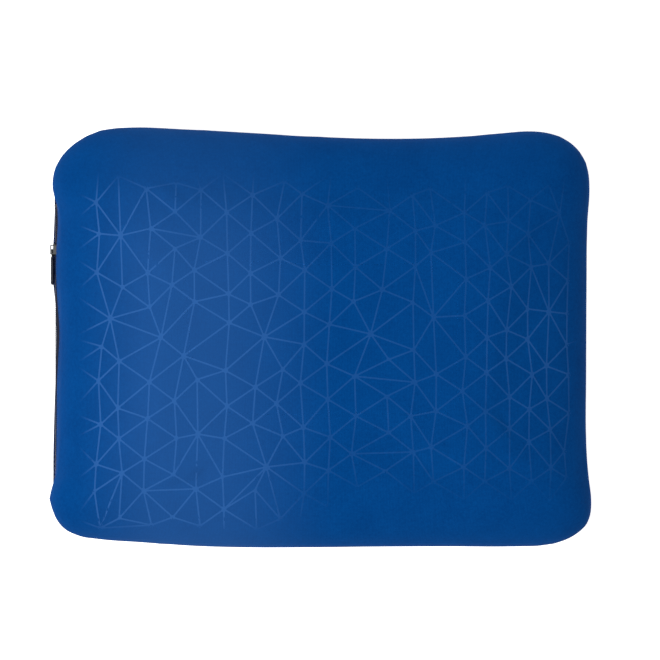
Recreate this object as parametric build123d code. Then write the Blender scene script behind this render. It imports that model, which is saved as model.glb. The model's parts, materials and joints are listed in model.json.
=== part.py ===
"""Self-inflating camp pillow: a zipped knit cover over a foam-filled air bladder with a two-stage valve.

Millimetres. The origin is the middle of the footprint, at the underside. X runs along the long side with
the zip on the left (-X), Y runs from the neck edge (-Y) to the head edge (+Y), and Z points up.
"""

import math
import os

from build123d import *

# Overall size. The zip slider's bridge is the furthest point to the left.
overall_width = 420.0
overall_depth = 326.0
overall_height = 110.0
corner_radius = 46.0

# Side profile of the cushion, from the underside up
seam_height = 51.0
wall_margin = 1.0
facet_run = 80.0
facet_rise = 26.0
shoulder_run = 8.0
crown_run = 105.0
crown_steps = 4

# Layers, as insets from the cover's outer surface, sideways and through the faces
cover_thickness = 1.2
bladder_face_gap = 0.4
bladder_thickness = 0.5
foam_gap = 0.4
weld_flange_width = 3.0
weld_flange_thickness = 0.6

# Bored channels through the foam, front to back
channel_radius = 13.0
channel_count = 7
channel_pitch = 46.0
channel_height = 56.0

# Zip, along the straight part of the left wall
zip_end_margin = 9.0
zip_centre_y = -4.0
zip_slot_half = 5.0
tape_thickness = 0.6
tape_half_width = 12.0
tape_gap_half = 0.9
tape_overrun = 3.0
coil_thickness = 1.6
coil_half_width = 2.5
coil_spine_width = 0.8
tooth_pitch = 1.5
tooth_gap = 0.13
tooth_reach = 0.7
stop_margin = 1.0
stop_lap = 0.3
stop_plate = 0.5
stop_split_half = 0.35
start_stop_length = 3.5
end_stop_length = 2.5

# Zip slider and its pull
slider_length = 9.6
slider_clearance = 0.3
slider_side_clearance = 0.4
slider_stop_gap = 0.5
slider_parked = 27.5
slider_flange = 0.9
slider_plate = 0.9
slider_corner = 1.6
slider_to_bladder = 0.5
post_length = 3.0
post_setback = 2.5
post_to_teeth = 0.2
bridge_setback = 1.1
bridge_width = 2.0
bridge_bar = 0.8
bridge_play = 0.2
pull_wire_radius = 0.6
pull_clearance = 0.3
pull_end_gap = 0.5
pull_grip_length = 22.0
pull_grip_width = 7.0
pull_grip_thickness = 2.0
pull_grip_round = 0.6
pull_socket = 4.0

# Valve, on the right-hand facet of the underside. Heights are above the cover's outer face.
valve_run = 48.0
valve_end_margin = 18.0
running_gap = 0.05
seat_gap = 0.1
neck_bore = 11.0
neck_wall = 2.5
neck_rim_height = 1.5
weld_disc_lap = 8.5
weld_disc_thickness = 1.0
tether_gap = 0.2
tether_wall = 2.3
tether_thickness = 1.3
window_gap = 0.9
binding_lap = 2.6
binding_thickness = 0.6
binding_edge = 0.5

plug_rim_lap = 1.5
plug_rim_thickness = 1.4
plug_body_depth = 6.4
plug_taper = 0.65
plug_tab_length = 4.5
plug_tab_half_width = 5.0
port_bore = 6.5
hub_wall = 1.3
rib_width = 1.6
rib_count = 3
spider_thickness = 1.2

flap_lap = 1.3
flap_thickness = 0.7
stem_radius = 1.2
stem_gap = 0.1
button_radius = 2.8
button_thickness = 1.2
button_gap = 0.2
press_travel = 2.0
pocket_margin = 1.5

cap_lap = 2.5
cap_thickness = 1.4
cap_ring_wall = 1.2
cap_ring_depth = 2.6
cap_ring_taper = 0.45
cap_tab_length = 4.0
cap_tab_half_width = 3.5
cap_tab_step = 0.2
tab_round_share = 0.6

# Living hinges
plug_hinge_gap = 1.4
plug_hinge_height = 1.0
plug_strap_half_width = 5.5
plug_strap_thickness = 0.8
plug_strap_bow = 0.8
cap_hinge_gap = 3.0
cap_hinge_rise = 0.2
cap_strap_half_width = 3.0
cap_strap_thickness = 0.6
cap_strap_bow = 1.2
lug_overhang = 0.5
lug_length = 0.6

# Worked out from the sizes above
straight_wall_half = tape_half_width + wall_margin
zip_opening = overall_depth - 2 * (corner_radius + zip_end_margin)
tooth_width = tooth_pitch / 2 - tooth_gap
channel_half_width = coil_half_width + slider_side_clearance
slider_half_width = channel_half_width + slider_flange
slider_ceiling = coil_thickness + slider_clearance
slider_top = slider_ceiling + slider_plate
slider_floor = -tape_thickness - slider_clearance
post_half_width = tape_gap_half - slider_clearance
bridge_length = slider_length - 2 * bridge_setback
pull_axis_height = slider_top + pull_clearance + pull_wire_radius
pull_arm_offset = bridge_width / 2 + pull_clearance + pull_wire_radius
pull_arm_reach = slider_length / 2 + pull_end_gap
bridge_inside = pull_axis_height + pull_wire_radius + bridge_play
bridge_top = bridge_inside + bridge_bar
zip_proud = bridge_top - cover_thickness
wall_x = -overall_width / 2 + zip_proud
half_width = (overall_width - zip_proud) / 2
half_depth = overall_depth / 2
centre_x = zip_proud / 2
facet_angle = math.atan2(facet_rise, facet_run)
bladder_side_inset = (
    cover_thickness + slider_plate - slider_floor + slider_to_bladder + weld_flange_width
)
bladder_face_inset = cover_thickness + bladder_face_gap


def facet_depth(side_inset, face_inset):
    """How far inside the cover's facet a layer's own facet lies, along the facet's normal."""
    return side_inset * math.sin(facet_angle) + face_inset * math.cos(facet_angle)


cover_inner = -facet_depth(cover_thickness, cover_thickness)
bladder_outer = -facet_depth(bladder_side_inset, bladder_face_inset)
bladder_inner = -facet_depth(
    bladder_side_inset + bladder_thickness, bladder_face_inset + bladder_thickness
)
neck_radius = neck_bore + neck_wall
weld_disc_radius = neck_radius + weld_disc_lap
weld_disc_low = bladder_inner - weld_disc_thickness
tether_bore = neck_radius + tether_gap
tether_radius = tether_bore + tether_wall
tether_low = bladder_outer + seat_gap
tether_high = tether_low + tether_thickness
plug_hinge_reach = tether_radius + plug_hinge_gap
plug_rim_radius = neck_radius + plug_rim_lap
plug_tab_reach = plug_rim_radius + plug_tab_length
plug_rim_low = neck_rim_height + seat_gap
plug_rim_high = plug_rim_low + plug_rim_thickness
plug_low = plug_rim_low - plug_body_depth
window_radius = plug_tab_reach + window_gap
binding_radius = window_radius + binding_lap
facet_half_length = half_depth - corner_radius - valve_run
valve_centre_y = valve_end_margin + binding_radius - facet_half_length
spider_high = plug_low + spider_thickness
stem_bore = stem_radius + stem_gap
flap_radius = port_bore + flap_lap
flap_high = plug_low - seat_gap
flap_low = flap_high - flap_thickness
button_low = spider_high + press_travel + button_gap
button_high = button_low + button_thickness
cap_radius = port_bore + cap_lap
cap_low = plug_rim_high + seat_gap
cap_high = cap_low + cap_thickness
cap_hinge_reach = cap_radius + cap_hinge_gap
cap_hinge_height = cap_low + cap_hinge_rise

# The zip's own frame: x along the zip away from its closed end, y up the wall, z outwards,
# with its origin on the tapes' outer face.
zip_frame = Plane(
    origin=(wall_x + cover_thickness, zip_centre_y, seam_height), x_dir=(0, -1, 0), z_dir=(-1, 0, 0)
)
closed_end = -zip_opening / 2
open_end = zip_opening / 2
row_start = closed_end + stop_margin + end_stop_length
slider_front = row_start + slider_stop_gap + slider_parked
slider_middle = slider_front + slider_length / 2
post_middle = slider_front + post_setback + post_length / 2
teeth_start = post_middle + post_length / 2 + post_to_teeth
start_stop_low = open_end - stop_margin - start_stop_length
slider_travel = start_stop_low - (slider_front + slider_length) - slider_stop_gap

# The valve's own frame: z outwards along the valve's axis, with its origin on the cover's outer face.
valve_frame = Plane(
    origin=(
        overall_width / 2 - valve_run,
        valve_centre_y,
        (shoulder_run + facet_run - valve_run) * math.tan(facet_angle),
    ),
    x_dir=(-math.cos(facet_angle), 0, -math.sin(facet_angle)),
    z_dir=(math.sin(facet_angle), 0, -math.cos(facet_angle)),
)


def block(x, y, z):
    """A box from (low, high) pairs."""
    size = [high - low for low, high in (x, y, z)]
    middle = [(low + high) / 2 for low, high in (x, y, z)]
    return Pos(*middle) * Box(*size)


def disc(radius, low, high, top_radius=None):
    """A cylinder, or a cone where top_radius differs, between two heights."""
    middle = Pos(0, 0, (low + high) / 2)
    if top_radius is None:
        return middle * Cylinder(radius, high - low)
    return middle * Cone(radius, top_radius, high - low)


def ring(bore, radius, low, high):
    return disc(radius, low, high) - disc(bore, low - 1, high + 1)


def ribbon(points, half_width):
    """A strap cross-section, given in the valve's y and z, drawn out along the valve's x."""
    face = make_face(Polyline(*[(0, y, z) for y, z in points], close=True))
    return extrude(face, half_width, dir=(1, 0, 0), both=True)


def outline(inset, round_inset, height):
    """The footprint, drawn in by an inset. Its corners stay within its short side."""
    short_side = min(half_width, half_depth) - inset
    corner = min(corner_radius - round_inset, 0.98 * short_side)
    return Pos(centre_x, 0, height) * RectangleRounded(
        2 * (half_width - inset), 2 * (half_depth - inset), corner
    )


def envelope(side_inset, face_inset):
    """The cushion's solid shape, shrunk by an inset through its sides and one through its faces."""
    wall_low = seam_height - straight_wall_half
    wall_high = seam_height + straight_wall_half
    profile = [
        (shoulder_run + facet_run, face_inset),
        (shoulder_run, facet_rise + face_inset),
        (0.0, wall_low),
        (0.0, wall_high),
    ]
    crown_rise = overall_height - face_inset - wall_high
    for step in range(1, crown_steps + 1):
        turn = math.pi / 2 * step / crown_steps
        profile.append((crown_run * (1 - math.cos(turn)), wall_high + crown_rise * math.sin(turn)))
    sections = [outline(run + side_inset, side_inset, height) for run, height in profile]
    return loft(sections, ruled=True)


def band(side_inset, low, high):
    """The inside of the wall between two heights."""
    return extrude(outline(side_inset, side_inset, low), high - low)


def halves(shell):
    """A shell cut at the seam, as (upper, lower)."""
    seam_plane = Plane.XY.offset(seam_height)
    return split(shell, bisect_by=seam_plane, keep=Keep.TOP), split(
        shell, bisect_by=seam_plane, keep=Keep.BOTTOM
    )


# Cover


def cover_panels():
    shell = envelope(0, 0) - envelope(cover_thickness, cover_thickness)
    slot = block((closed_end, open_end), (-zip_slot_half, zip_slot_half), (-1, cover_thickness + 1))
    window = disc(window_radius, cover_inner - 1, 1)
    upper, lower = halves(shell - zip_frame * slot)
    return upper, lower - valve_frame * window


def window_binding():
    """A folded tape round the valve window's raw edge, gripping the panel from both sides."""
    whole = ring(
        window_radius - binding_edge,
        binding_radius,
        cover_inner - binding_thickness,
        binding_thickness,
    )
    panel_slot = ring(window_radius, binding_radius + 1, cover_inner, 0)
    return valve_frame * (whole - panel_slot)


# Zip


def zip_tape(side):
    """side is 1 for the upper tape and -1 for the lower."""
    across = sorted((side * tape_gap_half, side * tape_half_width))
    along = (closed_end - tape_overrun, open_end + tape_overrun)
    return zip_frame * block(along, across, (-tape_thickness, 0))


def zip_coil(side):
    """One row of the chain, drawn as a comb: a spine along the tape's edge with a tooth at each pitch.

    The rows mesh behind the slider and stand apart in front of it.
    """
    spine_inner = coil_half_width - coil_spine_width
    points = [(row_start, coil_half_width), (row_start, spine_inner)]
    phase = 0 if side > 0 else tooth_pitch / 2
    for start, end, tip in (
        (row_start + tooth_pitch, slider_front, stop_split_half),
        (teeth_start, start_stop_low, -tooth_reach),
    ):
        tooth = start + phase
        while tooth + tooth_width < end:
            points += [(tooth, spine_inner), (tooth, tip)]
            points += [(tooth + tooth_width, tip), (tooth + tooth_width, spine_inner)]
            tooth += tooth_pitch
    points += [(start_stop_low, spine_inner), (start_stop_low, coil_half_width)]
    comb = make_face(Polyline(*[(x, side * y, 0) for x, y in points], close=True))
    return zip_frame * extrude(comb, coil_thickness, dir=(0, 0, 1))


def start_stop():
    """The stop at the open end, which joins both rows for good."""
    along = (start_stop_low, start_stop_low + start_stop_length)
    reach = coil_half_width + stop_lap
    outside = block(along, (-reach, reach), (0, coil_thickness))
    web = block(along, (-tape_gap_half, tape_gap_half), (-tape_thickness, 0))
    inside = block(along, (-reach, reach), (-tape_thickness - stop_plate, -tape_thickness))
    return zip_frame * (outside + web + inside)


def end_stops():
    """A crimp on each tape's edge at the closed end."""
    along = (closed_end + stop_margin, closed_end + stop_margin + end_stop_length)
    crimps = []
    for side in (1, -1):
        across = sorted((side * stop_split_half, side * (coil_half_width + stop_lap)))
        outside = block(along, across, (0, coil_thickness))
        web = block(along, sorted((side * stop_split_half, side * tape_gap_half)), (-tape_thickness, 0))
        inside = block(along, across, (-tape_thickness - stop_plate, -tape_thickness))
        crimps.append(zip_frame * (outside + web + inside))
    return Compound(children=crimps)


def slider_outline(low, high):
    plate = RectangleRounded(slider_length, 2 * slider_half_width, slider_corner)
    return Pos(slider_middle, 0, low) * extrude(plate, high - low)


def zip_slider():
    along = (slider_front, slider_front + slider_length)
    outer_shell = slider_outline(slider_clearance, slider_top)
    channel = block(
        (along[0] - 1, along[1] + 1), (-channel_half_width, channel_half_width), (0, slider_ceiling)
    )
    inner_plate = slider_outline(slider_floor - slider_plate, slider_floor)
    post = block(
        (post_middle - post_length / 2, post_middle + post_length / 2),
        (-post_half_width, post_half_width),
        (slider_floor, slider_ceiling),
    )
    bridge_along = (slider_middle - bridge_length / 2, slider_middle + bridge_length / 2)
    bridge_across = (-bridge_width / 2, bridge_width / 2)
    bridge = block(bridge_along, bridge_across, (slider_top, bridge_top))
    tunnel = block(
        (bridge_along[0] + bridge_bar, bridge_along[1] - bridge_bar),
        (-bridge_width, bridge_width),
        (slider_top, bridge_inside),
    )
    return zip_frame * (outer_shell - channel + inner_plate + post + (bridge - tunnel))


def pull_link():
    """A wire loop: a cross bar under the slider's bridge and two arms out to the grip."""
    bar = Rot(90, 0, 0) * Cylinder(pull_wire_radius, 2 * pull_arm_offset)
    arm_length = pull_arm_reach + pull_socket
    loop = bar
    for side in (1, -1):
        arm = Pos(arm_length / 2, side * pull_arm_offset, 0) * (
            Rot(0, 90, 0) * Cylinder(pull_wire_radius, arm_length)
        )
        corner = Pos(0, side * pull_arm_offset, 0) * Sphere(pull_wire_radius)
        loop = loop + corner + arm
    return zip_frame * (Pos(slider_middle, 0, pull_axis_height) * loop)


def pull_grip():
    """A soft moulded tab over the ends of the link's arms."""
    outline_face = RectangleRounded(pull_grip_length, pull_grip_width, pull_grip_width * 0.48)
    tab = Pos(pull_arm_reach + pull_grip_length / 2, 0, -pull_grip_thickness / 2) * extrude(
        outline_face, pull_grip_thickness
    )
    rims = tab.edges().group_by(Axis.Z)[0] + tab.edges().group_by(Axis.Z)[-1]
    tab = fillet(rims, pull_grip_round)
    for side in (1, -1):
        socket = Pos(pull_arm_reach + pull_socket / 2, side * pull_arm_offset, 0) * (
            Rot(0, 90, 0) * Cylinder(pull_wire_radius, pull_socket)
        )
        tab = tab - socket
    return zip_frame * (Pos(slider_middle, 0, pull_axis_height) * tab)


# Bladder and foam


def bladder_skins():
    inner_side = bladder_side_inset + bladder_thickness
    shell = envelope(bladder_side_inset, bladder_face_inset) - envelope(
        inner_side, bladder_face_inset + bladder_thickness
    )
    upper, lower = halves(shell)
    flange_side = bladder_side_inset - weld_flange_width
    upper_flange = band(flange_side, seam_height, seam_height + weld_flange_thickness)
    lower_flange = band(flange_side, seam_height - weld_flange_thickness, seam_height)
    core = band(inner_side, seam_height - 2 * weld_flange_thickness, seam_height + 2 * weld_flange_thickness)
    neck_hole = disc(neck_radius, bladder_inner - 2, bladder_outer + 2)
    return upper + (upper_flange - core), lower + (lower_flange - core) - valve_frame * neck_hole


def foam_core():
    """One block that fills the bladder, bored to save weight, with a pocket that keeps it off the valve."""
    inset = bladder_thickness + foam_gap
    core = envelope(bladder_side_inset + inset, bladder_face_inset + inset)
    first = -channel_pitch * (channel_count - 1) / 2
    for number in range(channel_count):
        channel = Rot(90, 0, 0) * Cylinder(channel_radius, overall_depth)
        core = core - Pos(centre_x + first + number * channel_pitch, 0, channel_height) * channel
    pocket_low = flap_low - press_travel - pocket_margin
    return core - valve_frame * disc(weld_disc_radius + pocket_margin, pocket_low, bladder_inner)


# Valve


def weld_flange():
    """The disc welded inside the bladder's lower skin, with the neck that stands out through it."""
    plate = disc(weld_disc_radius, weld_disc_low, bladder_inner)
    neck = disc(neck_radius, weld_disc_low, neck_rim_height)
    return valve_frame * (plate + neck - disc(neck_bore, weld_disc_low - 1, neck_rim_height + 1))


def tether_ring():
    """The loop round the neck, with the tongue that the plug's strap grows from."""
    loop = disc(tether_radius, tether_low, tether_high)
    tongue = block(
        (-plug_strap_half_width - lug_overhang, plug_strap_half_width + lug_overhang),
        (-tether_radius - lug_length, -tether_bore),
        (tether_low, tether_high),
    )
    return valve_frame * (loop + tongue - disc(tether_bore, tether_low - 1, tether_high + 1))


def plug_strap():
    foot = -tether_radius - lug_length
    bulge = -plug_hinge_reach - plug_strap_bow
    knee = bulge + plug_strap_thickness
    strap_high = plug_rim_high - seat_gap
    strap_low = strap_high - plug_strap_thickness
    profile = [
        (foot, tether_high),
        (bulge, plug_hinge_height - plug_strap_bow),
        (bulge, plug_hinge_height),
        (-plug_rim_radius - plug_strap_thickness, strap_high),
        (-plug_rim_radius, strap_high),
        (-plug_rim_radius, strap_low),
        (knee, plug_hinge_height - plug_strap_thickness / 4),
        (knee, plug_hinge_height - plug_strap_bow),
        (foot + plug_strap_thickness, tether_high),
    ]
    return valve_frame * ribbon(profile, plug_strap_half_width)


def deflate_plug():
    """The large stopper. Its middle is the inflation port, crossed by a hub on ribs."""
    rim = disc(plug_rim_radius, plug_rim_low, plug_rim_high)
    top_radius = neck_bore - running_gap
    body = disc(top_radius - plug_taper, plug_low, plug_rim_low, top_radius)
    lug = block(
        (-plug_strap_half_width - lug_overhang, plug_strap_half_width + lug_overhang),
        (-plug_rim_radius, -plug_rim_radius / 2),
        (plug_rim_low, plug_rim_high),
    )
    tab = block(
        (-plug_tab_half_width, plug_tab_half_width),
        (plug_rim_radius - 2, plug_tab_reach),
        (plug_rim_low, plug_rim_high),
    )
    tab = fillet(tab.edges().filter_by(Axis.Z).group_by(Axis.Y)[-1], plug_tab_half_width * tab_round_share)
    stopper = rim + body + lug + tab - disc(port_bore, plug_low - 1, plug_rim_high + 1)
    spider = disc(stem_bore + hub_wall, plug_low, spider_high)
    for number in range(rib_count):
        rib = block((0, port_bore + 0.5), (-rib_width / 2, rib_width / 2), (plug_low, spider_high))
        spider = spider + Rot(0, 0, 360 / rib_count * number) * rib
    stem_hole = disc(stem_bore, plug_low - 1, spider_high + 1)
    return valve_frame * (stopper + spider - stem_hole)


def check_flap():
    """The soft one-way disc with its stem. Air going in pushes it off its seat."""
    return valve_frame * (
        disc(flap_radius, flap_low, flap_high) + disc(stem_radius, flap_high, button_low)
    )


def release_button():
    button = disc(button_radius, button_low, button_high)
    button = fillet(button.edges().group_by(Axis.Z)[-1], button_thickness * 0.5)
    return valve_frame * button


def inflate_cap():
    top = disc(cap_radius, cap_low, cap_high)
    ring_low = cap_low - cap_ring_depth
    ring_radius = port_bore - running_gap
    stopper = disc(ring_radius - cap_ring_taper, ring_low, cap_low, ring_radius)
    hollow = disc(ring_radius - cap_ring_taper - cap_ring_wall, ring_low - 1, cap_low)
    lug = block(
        (-cap_strap_half_width, cap_strap_half_width),
        (cap_radius / 2, cap_radius + lug_length),
        (cap_low, cap_high),
    )
    tab = block(
        (-cap_tab_half_width, cap_tab_half_width),
        (-cap_radius - cap_tab_length, -cap_radius + 2),
        (cap_low + cap_tab_step, cap_high - cap_tab_step),
    )
    tab = fillet(tab.edges().filter_by(Axis.Z).group_by(Axis.Y)[0], cap_tab_half_width * tab_round_share)
    return valve_frame * (top + (stopper - hollow) + lug + tab)


def cap_strap():
    start = cap_radius + lug_length
    strap_low = cap_low + cap_hinge_rise
    strap_high = strap_low + cap_strap_thickness
    foot = cap_hinge_reach + cap_strap_bow
    profile = [
        (start, strap_low),
        (foot - cap_strap_thickness, strap_low),
        (foot, plug_rim_high),
        (foot + cap_strap_thickness, plug_rim_high),
        (foot + cap_strap_thickness / 2, strap_high),
        (start, strap_high),
    ]
    return valve_frame * ribbon(profile, cap_strap_half_width)


def main():
    os.makedirs("parts", exist_ok=True)
    cover_top, cover_base = cover_panels()
    bladder_top, bladder_base = bladder_skins()
    nodes = {
        "cover_top_panel": cover_top,
        "cover_base_panel": cover_base,
        "valve_window_binding": window_binding(),
        "zip_tape_upper": zip_tape(1),
        "zip_tape_lower": zip_tape(-1),
        "zip_coil_upper": zip_coil(1),
        "zip_coil_lower": zip_coil(-1),
        "zip_start_stop": start_stop(),
        "zip_end_stops": end_stops(),
        "zip_slider": zip_slider(),
        "zip_pull_link": pull_link(),
        "zip_pull_grip": pull_grip(),
        "bladder_top_skin": bladder_top,
        "bladder_base_skin": bladder_base,
        "foam_core": foam_core(),
        "valve_weld_flange": weld_flange(),
        "valve_tether_ring": tether_ring(),
        "valve_plug_strap": plug_strap(),
        "valve_deflate_plug": deflate_plug(),
        "valve_check_flap": check_flap(),
        "valve_release_button": release_button(),
        "valve_inflate_cap": inflate_cap(),
        "valve_cap_strap": cap_strap(),
    }
    for name, shape in nodes.items():
        export_step(shape, f"parts/{name}.step")

    def in_row(frame, x, y, z):
        return [round(value / 1000, 6) for value in frame.from_local_coords(Vector(x, y, z))]

    print("slider range, m:", round(-slider_parked / 1000, 5), round(slider_travel / 1000, 5))
    print("pull axis:", in_row(zip_frame, slider_middle, 0, pull_axis_height))
    print("plug hinge:", in_row(valve_frame, 0, -plug_hinge_reach, plug_hinge_height))
    print("cap hinge:", in_row(valve_frame, 0, cap_hinge_reach, cap_hinge_height))
    print("valve middle:", in_row(valve_frame, 0, 0, 0))
    print("valve x:", list(valve_frame.x_dir), "valve z:", list(valve_frame.z_dir))


main()
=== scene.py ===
import json
import math
import random
import bmesh
import bpy
from mathutils import Matrix, Vector
from mathutils.bvhtree import BVHTree


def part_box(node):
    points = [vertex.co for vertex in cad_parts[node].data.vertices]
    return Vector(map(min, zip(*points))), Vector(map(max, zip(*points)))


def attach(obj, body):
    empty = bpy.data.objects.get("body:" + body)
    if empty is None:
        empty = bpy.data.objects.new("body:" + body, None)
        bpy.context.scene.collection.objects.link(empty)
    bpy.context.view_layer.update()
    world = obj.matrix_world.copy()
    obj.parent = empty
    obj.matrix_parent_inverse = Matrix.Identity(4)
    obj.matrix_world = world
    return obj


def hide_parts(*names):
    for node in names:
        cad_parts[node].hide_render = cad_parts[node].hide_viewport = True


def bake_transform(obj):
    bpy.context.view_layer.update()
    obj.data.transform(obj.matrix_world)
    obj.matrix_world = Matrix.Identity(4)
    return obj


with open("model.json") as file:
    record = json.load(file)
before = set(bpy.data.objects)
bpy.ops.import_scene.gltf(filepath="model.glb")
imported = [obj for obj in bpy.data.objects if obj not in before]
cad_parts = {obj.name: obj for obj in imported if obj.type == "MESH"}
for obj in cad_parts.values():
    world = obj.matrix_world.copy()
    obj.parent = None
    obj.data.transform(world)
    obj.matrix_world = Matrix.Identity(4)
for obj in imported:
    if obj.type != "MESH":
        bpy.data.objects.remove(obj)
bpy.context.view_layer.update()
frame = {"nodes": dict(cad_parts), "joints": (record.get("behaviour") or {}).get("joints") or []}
mm = 0.001


# small helpers

def addMesh(name, bm, recalc=True):
    if recalc:
        bmesh.ops.recalc_face_normals(bm, faces=bm.faces[:])
    mesh = bpy.data.meshes.new(name)
    bm.to_mesh(mesh)
    bm.free()
    piece = bpy.data.objects.new(name, mesh)
    bpy.context.scene.collection.objects.link(piece)
    return piece


def applyModifiers(piece):
    graph = bpy.context.evaluated_depsgraph_get()
    done = bpy.data.meshes.new_from_object(piece.evaluated_get(graph), depsgraph=graph)
    piece.modifiers.clear()
    old, piece.data = piece.data, done
    done.name = piece.name
    bpy.data.meshes.remove(old)
    return piece


def withModifier(piece, kind, **settings):
    modifier = piece.modifiers.new(kind.title(), kind)
    for name, value in settings.items():
        setattr(modifier, name, value)
    return applyModifiers(piece)


def smoothFaces(piece, angle=None):
    for face in piece.data.polygons:
        face.use_smooth = True
    if angle is not None:
        piece.data.set_sharp_from_angle(angle=math.radians(angle))
    return piece


def ease(x):
    x = min(max(x, 0.0), 1.0)
    return x * x * (3 - 2 * x)


def bump(x, middle, halfWidth):
    return ease(1 - abs(x - middle) / halfWidth)


# shader maths

class Wire:
    # one socket of a node tree, which takes plain maths
    def __init__(self, tree, socket=None):
        self.tree = tree
        self.socket = socket

    def make(self, kind, settings=None, inputs=None, output=0):
        node = self.tree.nodes.new("ShaderNode" + kind)
        for name, value in (settings or {}).items():
            setattr(node, name, value)
        for name, value in (inputs or {}).items():
            if isinstance(value, Wire):
                self.tree.links.new(value.socket, node.inputs[name])
            else:
                node.inputs[name].default_value = value
        return Wire(self.tree, node.outputs[output])

    def maths(self, operation, other=0.0, swapped=False):
        first, second = (other, self) if swapped else (self, other)
        return self.make("Math", {"operation": operation}, {0: first, 1: second})

    def __add__(self, other):
        return self.maths("ADD", other)

    __radd__ = __add__

    def __sub__(self, other):
        return self.maths("SUBTRACT", other)

    def __rsub__(self, other):
        return self.maths("SUBTRACT", other, swapped=True)

    def __mul__(self, other):
        return self.maths("MULTIPLY", other)

    __rmul__ = __mul__

    def sine(self):
        return self.maths("SINE")

    def held(self):
        # kept between 0 and 1
        return self.maths("MINIMUM", 1.0).maths("MAXIMUM", 0.0)

    def fromTo(self, low, high):
        return self.make("MapRange", {"interpolation_type": "SMOOTHSTEP"},
                         {"Value": self, "From Min": low, "From Max": high})

    def colours(self, dark, light):
        return self.make("Mix", {"data_type": "RGBA"}, {0: self, 6: dark, 7: light}, 2)

    def parts(self):
        return [self.make("SeparateXYZ", None, {"Vector": self}, n) for n in range(3)]

    def noise(self, scale, detail=2.0, roughness=0.5, distortion=0.0):
        return self.make("TexNoise", None, {"Vector": self, "Scale": scale, "Detail": detail,
                                            "Roughness": roughness, "Distortion": distortion})


def newMaterial(name, roughness, even):
    # even holds what is the same all over the surface, by the socket's name
    material = bpy.data.materials.new(name)
    material.use_nodes = True
    shader = material.node_tree.nodes["Principled BSDF"]
    shader.inputs["Roughness"].default_value = roughness
    for socket, value in even.items():
        shader.inputs[socket].default_value = value
    return material, shader, Wire(material.node_tree)


def plug(shader, name, wire):
    wire.tree.links.new(wire.socket, shader.inputs[name])


def raiseBy(shader, height, distance, strength):
    bumped = height.make("Bump", None, {"Height": height, "Distance": distance, "Strength": strength})
    plug(shader, "Normal", bumped)


def colour(r, g, b):
    # a screen colour as the linear one that the shader takes
    def straight(c):
        c = c / 255
        return c / 12.92 if c <= 0.04045 else ((c + 0.055) / 1.055) ** 2.4
    return (straight(r), straight(g), straight(b), 1)


# materials

knitCloth = {
    "wale": 1.15 * mm,
    "course": 0.9 * mm,
    "slant": 0.9,
    "nap": 1500,
    "fuzz": 430,
    "mottle": 38,
    "loopDepth": 0.10 * mm,
    "evenTone": 0.57,   # taken off, so that the tone stays about halfway
    "inkPatch": 60,
}
# painted sheen: the top cloth is painted paler by the zip side, where the light glances off it
paintedSheenPatch = {
    # metres across and along the cushion
    "begins": (-0.195, -0.12),
    "fades": (-0.09, 0.02),
    "headFades": (0.05, 0.14),
    "headLoss": 0.6,
    "strength": 0.42,
}


def knit(name, deep, light, paintedSheenColour=None, ink=None):
    # brushed knit: rows of slanted loops under a nap, with painted sheen, paler by the zip, and a print where
    # asked
    material, shader, start = newMaterial(name, 0.9, {
        "Sheen Weight": 0.02,
        "Sheen Roughness": 0.5,
        "Sheen Tint": colour(90, 130, 205),
        "Specular IOR Level": 0.02,
    })
    place = start.make("TexCoord", None, None, 3)
    across, along, _ = start.make("UVMap", {"uv_map": "flat"}).parts()
    slant = (along * (2 * math.pi / knitCloth["course"])).sine()
    loops = (across * (2 * math.pi / knitCloth["wale"]) + slant * knitCloth["slant"]).sine() * 0.5 + 0.5
    nap = place.noise(knitCloth["nap"], 3, 0.65)
    fuzz = place.noise(knitCloth["fuzz"], 2, 0.6)
    mottle = place.noise(knitCloth["mottle"], 4, 0.6)
    tone = (nap * 0.85 + fuzz * 0.55 + mottle * 0.45 + loops * 0.22 - knitCloth["evenTone"]).held()
    shade = tone.colours(deep, light)
    if paintedSheenColour:
        # painted sheen, paler towards the zip side and less so towards the head
        x, y, _ = place.parts()
        near = x.fromTo(*paintedSheenPatch["begins"]) * (1.0 - x.fromTo(*paintedSheenPatch["fades"]))
        near = near * (1.0 - paintedSheenPatch["headLoss"] * y.fromTo(*paintedSheenPatch["headFades"]))
        shade = (near * paintedSheenPatch["strength"]).colours(shade, paintedSheenColour)
    if ink:
        # the print's strength, which also carries painted sheen across the top
        strength = start.make("Attribute", {"attribute_name": "printAndSheenStrength"}, None, 2)
        patch = place.noise(knitCloth["inkPatch"], 3, 0.5)
        take = (strength * (0.72 + patch * 0.5) + (nap - 0.5) * 0.3 * strength).held()
        shade = take.colours(shade, ink)
    plug(shader, "Base Color", shade)
    plug(shader, "Roughness", (0.8 + nap * 0.18).held())
    raiseBy(shader, loops * 0.5 + nap * 0.9 + fuzz * 0.8, knitCloth["loopDepth"], 0.5)
    return material


def wovenTape(name, dark, light, pitch=0.55 * mm, angle=0.0):
    material, shader, start = newMaterial(name, 0.82, {
        "Sheen Weight": 0.2,
        "Sheen Roughness": 0.5,
        "Specular IOR Level": 0.3,
    })
    x, y, z = start.make("TexCoord", None, None, 3).parts()
    rate = 2 * math.pi / pitch
    up = z * math.cos(angle) + x * math.sin(angle)
    warp = (y * rate).sine()
    weft = (up * rate + (y * (rate / 3)).sine() * 1.5).sine()
    weave = (warp * weft * 0.5 + 0.5).held()
    dust = start.make("TexCoord", None, None, 3).noise(300, 3, 0.6)
    plug(shader, "Base Color", (weave * 0.55 + dust * 0.5).held().colours(dark, light))
    plug(shader, "Roughness", (0.7 + weave * 0.2).held())
    raiseBy(shader, weave, 0.08 * mm, 0.7)
    return material


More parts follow.
